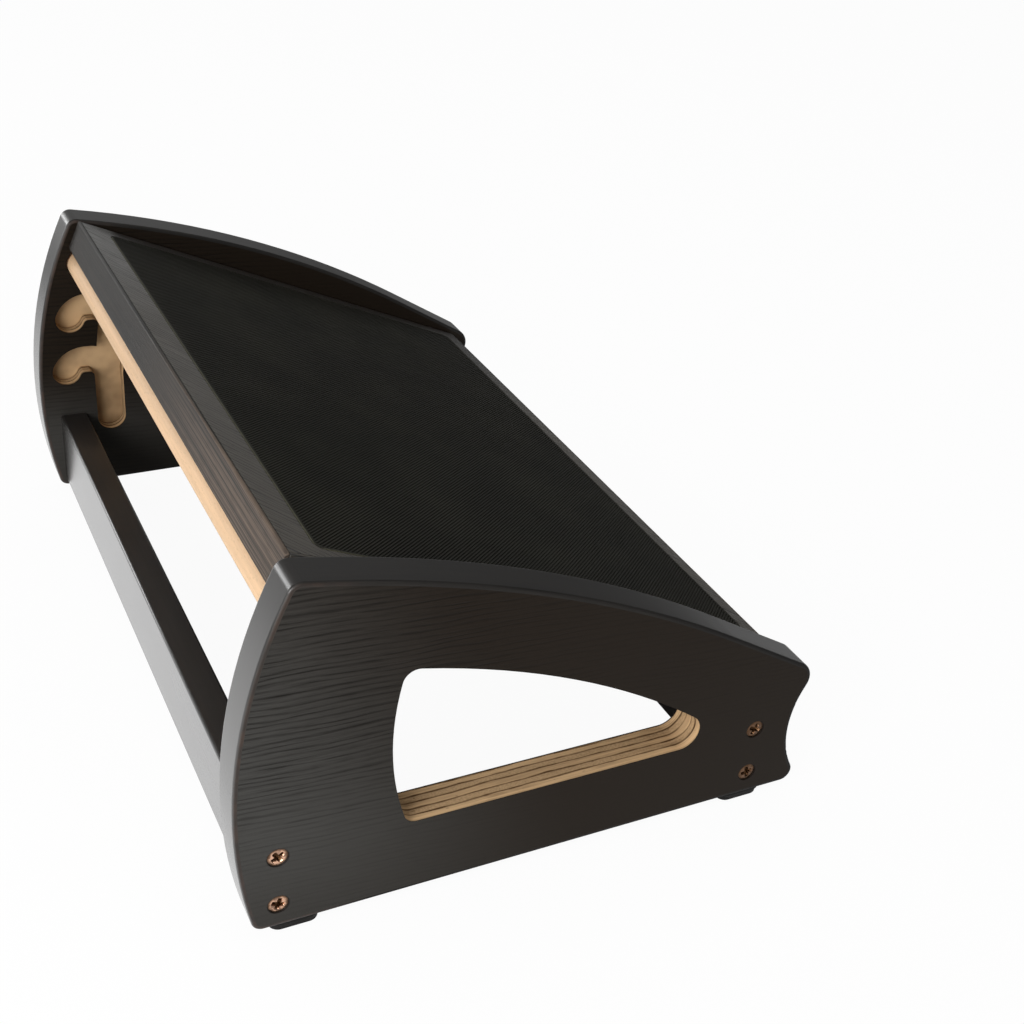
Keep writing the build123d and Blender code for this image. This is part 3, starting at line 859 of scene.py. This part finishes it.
def finished_piece(name, shape, smooth=0.0):
    """An object from a closed bmesh, shaded smooth below an angle."""
    bmesh.ops.recalc_face_normals(shape, faces=shape.faces)
    for edge in shape.edges:
        edge.smooth = edge.is_manifold and edge.calc_face_angle(0.0) < smooth
    for face in shape.faces:
        face.smooth = smooth > 0
    mesh = bpy.data.meshes.new(name)
    shape.to_mesh(mesh)
    shape.free()
    piece = bpy.data.objects.new(name, mesh)
    bpy.context.scene.collection.objects.link(piece)
    return piece


class FOOTREST_OT_panels(bpy.types.Operator):
    """Finish the side panels and their edge bands"""

    bl_idname = "footrest.panels"
    bl_label = "Side panels"

    def execute(self, context):
        wood = context.scene.footrest_wood
        dress(panel_finish(wood), *[f"{side}_side_panel" for side in SIDES])
        dress(band_finish(wood), *[f"{side}_edge_band" for side in SIDES])
        return {"FINISHED"}


class FOOTREST_OT_stretchers(bpy.types.Operator):
    """Finish the boards between the side panels"""

    bl_idname = "footrest.stretchers"
    bl_label = "Stretchers"

    def execute(self, context):
        boards = [f"{end}_stretcher" for end in ENDS]
        dress(stretcher_finish(context.scene.footrest_wood), *boards)
        ease_edges(STRETCHER_EASE, *boards)
        return {"FINISHED"}


class FOOTREST_OT_platform(bpy.types.Operator):
    """Finish the platform's board and strips"""

    bl_idname = "footrest.platform"
    bl_label = "Platform"

    def execute(self, context):
        wood = context.scene.footrest_wood
        skew = Matrix.Rotation(BOARD_SKEW, 3, PLATFORM_UP)
        ends = ("platform_toe_strip", "platform_heel_strip")
        sides = [f"platform_{side}_strip" for side in SIDES]
        board = platform_finish(wood, "board_veneer", skew @ PLATFORM_TOE, skew @ WIDTH_WAY, PLATFORM_UP)
        flanks = platform_finish(wood, "flank_veneer", PLATFORM_TOE, PLATFORM_UP, WIDTH_WAY)
        dress(board, "platform_board")
        dress(strip_finish(wood), *ends)
        dress(flanks, *sides)
        ease_edges(STRIP_EASE, *ends, *sides)
        return {"FINISHED"}


class FOOTREST_OT_mat(bpy.types.Operator):
    """Lay the ribbed mat into the platform"""

    bl_idname = "footrest.mat"
    bl_label = "Ribbed mat"

    def execute(self, context):
        settings = context.scene.footrest_mat
        piece = ribbed_mat(settings)
        piece.data.materials.append(mat_finish(settings))
        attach(piece, "platform")
        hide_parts("anti_slip_mat")
        return {"FINISHED"}


class FOOTREST_OT_rod(bpy.types.Operator):
    """Finish the support rod"""

    bl_idname = "footrest.rod"
    bl_label = "Support rod"

    def execute(self, context):
        dress(rod_finish(context.scene.footrest_wood), "support_rod")
        return {"FINISHED"}


class FOOTREST_OT_hardware(bpy.types.Operator):
    """Set the cross-head screws and finish the pivot pins, bushes and foot screws"""

    bl_idname = "footrest.hardware"
    bl_label = "Screws and pivots"

    def execute(self, context):
        hardware = context.scene.footrest_hardware
        corners = [f"{end}_{side}" for end in ENDS for side in SIDES]
        screws = [f"{corner}_{level}_screw" for corner in corners for level in LEVELS]
        pins = [f"{side}_pivot_pin" for side in SIDES]
        copper = copper_finish(hardware)
        for number, node in enumerate(screws):
            screw = cross_screw(hardware, node, FIRST_TURN + TURN_STEP * number)
            screw.data.materials.append(copper)
            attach(screw, "frame")
            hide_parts(node)
        dress(steel_finish(hardware), *pins, *[f"{corner}_foot_screw" for corner in corners])
        bushes = [f"{side}_pivot_bush" for side in SIDES]
        dress(moulded_finish("bush_plastic", hardware.bush_colour, 0.35, 0.35, 0.4), *bushes)
        return {"FINISHED"}


class FOOTREST_OT_feet(bpy.types.Operator):
    """Finish the rubber feet"""

    bl_idname = "footrest.feet"
    bl_label = "Feet"

    def execute(self, context):
        hardware = context.scene.footrest_hardware
        feet = [f"{end}_{side}_foot" for end in ENDS for side in SIDES]
        dress(moulded_finish("foot_rubber", hardware.foot_colour, 0.10, 0.55, 0.3), *feet)
        ease_edges(FOOT_EASE, *feet)
        return {"FINISHED"}


class FOOTREST_OT_studio(bpy.types.Operator):
    """Set up the floor, the lamps, the world and the camera"""

    bl_idname = "footrest.studio"
    bl_label = "Studio"

    def execute(self, context):
        studio = context.scene.footrest_studio
        context.scene.view_settings.view_transform = "Standard"
        lay_floor(studio)
        light_world(studio)
        for name, (place, size, power) in LAMPS.items():
            hang_lamp(name, place, size, power)
        place_camera(context.scene, studio)
        return {"FINISHED"}


def lay_floor(studio):
    """A pale floor that keeps the shadow of the footrest."""
    half = studio.floor_size / 2
    mesh = bpy.data.meshes.new("studio_floor")
    corners = [(-half, -half, 0), (half, -half, 0), (half, half, 0), (-half, half, 0)]
    mesh.from_pydata(corners, [], [(0, 1, 2, 3)])
    floor = bpy.data.objects.new("studio_floor", mesh)
    bpy.context.scene.collection.objects.link(floor)
    material = bpy.data.materials.new("studio_floor")
    material.use_nodes = True
    tree = Tree(material.node_tree)
    matt = tree.node("ShaderNodeBsdfDiffuse", None, {"Color": opaque(studio.floor_colour)})
    white, far, under = (
        tree.node("ShaderNodeEmission", None, {"Strength": strength})
        for strength in (1.0, studio.far_floor, 0.0)
    )
    # Reflections show the floor white round the footrest, dimmer farther off, and a painted shadow under
    # it
    place = tree.node("ShaderNodeTexCoord", outlet="Object")
    across, along = (abs(tree.node("ShaderNodeSeparateXYZ", None, {0: place}, axis)) for axis in "XY")
    clear = (across - cad_box[1].x).most(along - cad_box[1].y)
    around = tree.blend(clear.rise(0.1, 0.7), white, far)
    mirrored = tree.blend(clear.rise(-0.045, -0.01), under, around)
    shown = tree.blend(tree.seen_by("Camera") * studio.floor_white, matt, white)
    look = tree.blend(tree.seen_by("Glossy", "Transmission"), shown, mirrored)
    tree.node("ShaderNodeOutputMaterial", None, {"Surface": look})
    mesh.materials.append(material)


def light_world(studio):
    """Even light from all round, white where it is seen. Reflections show a room with a dim ceiling."""
    world = bpy.data.worlds.new("studio_world")
    world.use_nodes = True
    bpy.context.scene.world = world
    tree = Tree(world.node_tree)
    plain = (1.0, 1.0, 1.0, 1.0)
    light, white, wall, ceiling = (
        tree.node("ShaderNodeBackground", None, {"Color": plain, "Strength": strength})
        for strength in (studio.ambient, 1.0, studio.back_wall, studio.ceiling)
    )
    direction = tree.node("ShaderNodeTexCoord", outlet="Generated")
    depth, height = (tree.node("ShaderNodeSeparateXYZ", None, {0: direction}, axis) for axis in "YZ")
    walls = tree.blend((0 - depth).rise(0.15, 0.75), white, wall)
    room = tree.blend(height.rise(0.30, 0.60), walls, ceiling)
    lit = tree.blend(tree.seen_by("Glossy", "Transmission"), light, room)
    look = tree.blend(tree.seen_by("Camera"), lit, white)
    tree.node("ShaderNodeOutputWorld", None, {"Surface": look})


def hang_lamp(name, place, size, power):
    """A soft lamp that points at the middle of the footrest."""
    lamp = bpy.data.lights.new(name, "AREA")
    lamp.shape = "RECTANGLE"
    lamp.size, lamp.size_y = size
    lamp.energy = power
    holder = bpy.data.objects.new(name, lamp)
    holder.location = place
    holder.visible_camera = False
    holder.rotation_euler = (LAMP_AIM - Vector(place)).to_track_quat("-Z", "Y").to_euler()
    bpy.context.scene.collection.objects.link(holder)


def place_camera(scene, studio):
    """A camera at the settings' place, aimed and rolled."""
    camera = bpy.data.cameras.new("studio_camera")
    camera.lens = studio.lens
    camera.sensor_width = 36.0
    camera.clip_start = 0.01
    holder = bpy.data.objects.new("studio_camera", camera)
    place = Vector(studio.camera_place)
    aim = (Vector(studio.camera_aim) - place).to_track_quat("-Z", "Y").to_matrix()
    roll = Matrix.Rotation(studio.camera_roll, 3, "Z")
    holder.matrix_world = Matrix.Translation(place) @ (aim @ roll).to_4x4()
    scene.collection.objects.link(holder)
    scene.camera = holder


class FOOTREST_PT_pieces(bpy.types.Panel):
    """Lists the pieces of the footrest with their settings"""

    bl_idname = "FOOTREST_PT_pieces"
    bl_label = "Footrest"
    bl_space_type = "VIEW_3D"
    bl_region_type = "UI"
    bl_category = "Footrest"

    def draw(self, context):
        for settings, operators in GROUPS.items():
            box = self.layout.box()
            group = getattr(context.scene, settings)
            for name in group.bl_rna.properties.keys():
                if name not in ("rna_type", "name"):
                    box.prop(group, name)
            for operator in operators:
                box.operator(operator.bl_idname)


GROUPS = {
    "footrest_wood": (FOOTREST_OT_panels, FOOTREST_OT_stretchers, FOOTREST_OT_platform, FOOTREST_OT_rod),
    "footrest_mat": (FOOTREST_OT_mat,),
    "footrest_hardware": (FOOTREST_OT_hardware, FOOTREST_OT_feet),
    "footrest_studio": (FOOTREST_OT_studio,),
}
SETTINGS = {
    "footrest_wood": WoodSettings,
    "footrest_mat": MatSettings,
    "footrest_hardware": HardwareSettings,
    "footrest_studio": StudioSettings,
}
OPERATORS = [operator for group in GROUPS.values() for operator in group]


def register():
    for cls in (*SETTINGS.values(), *OPERATORS, FOOTREST_PT_pieces):
        bpy.utils.register_class(cls)
    for name, cls in SETTINGS.items():
        setattr(bpy.types.Scene, name, PointerProperty(type=cls))


def unregister():
    for name in SETTINGS:
        delattr(bpy.types.Scene, name)
    for cls in (FOOTREST_PT_pieces, *reversed(OPERATORS), *SETTINGS.values()):
        bpy.utils.unregister_class(cls)


def main():
    register()
    bpy.ops.footrest.panels()
    bpy.ops.footrest.stretchers()
    bpy.ops.footrest.platform()
    bpy.ops.footrest.mat()
    bpy.ops.footrest.rod()
    bpy.ops.footrest.hardware()
    bpy.ops.footrest.feet()
    bpy.ops.footrest.studio()


if __name__ == "__main__":
    main()
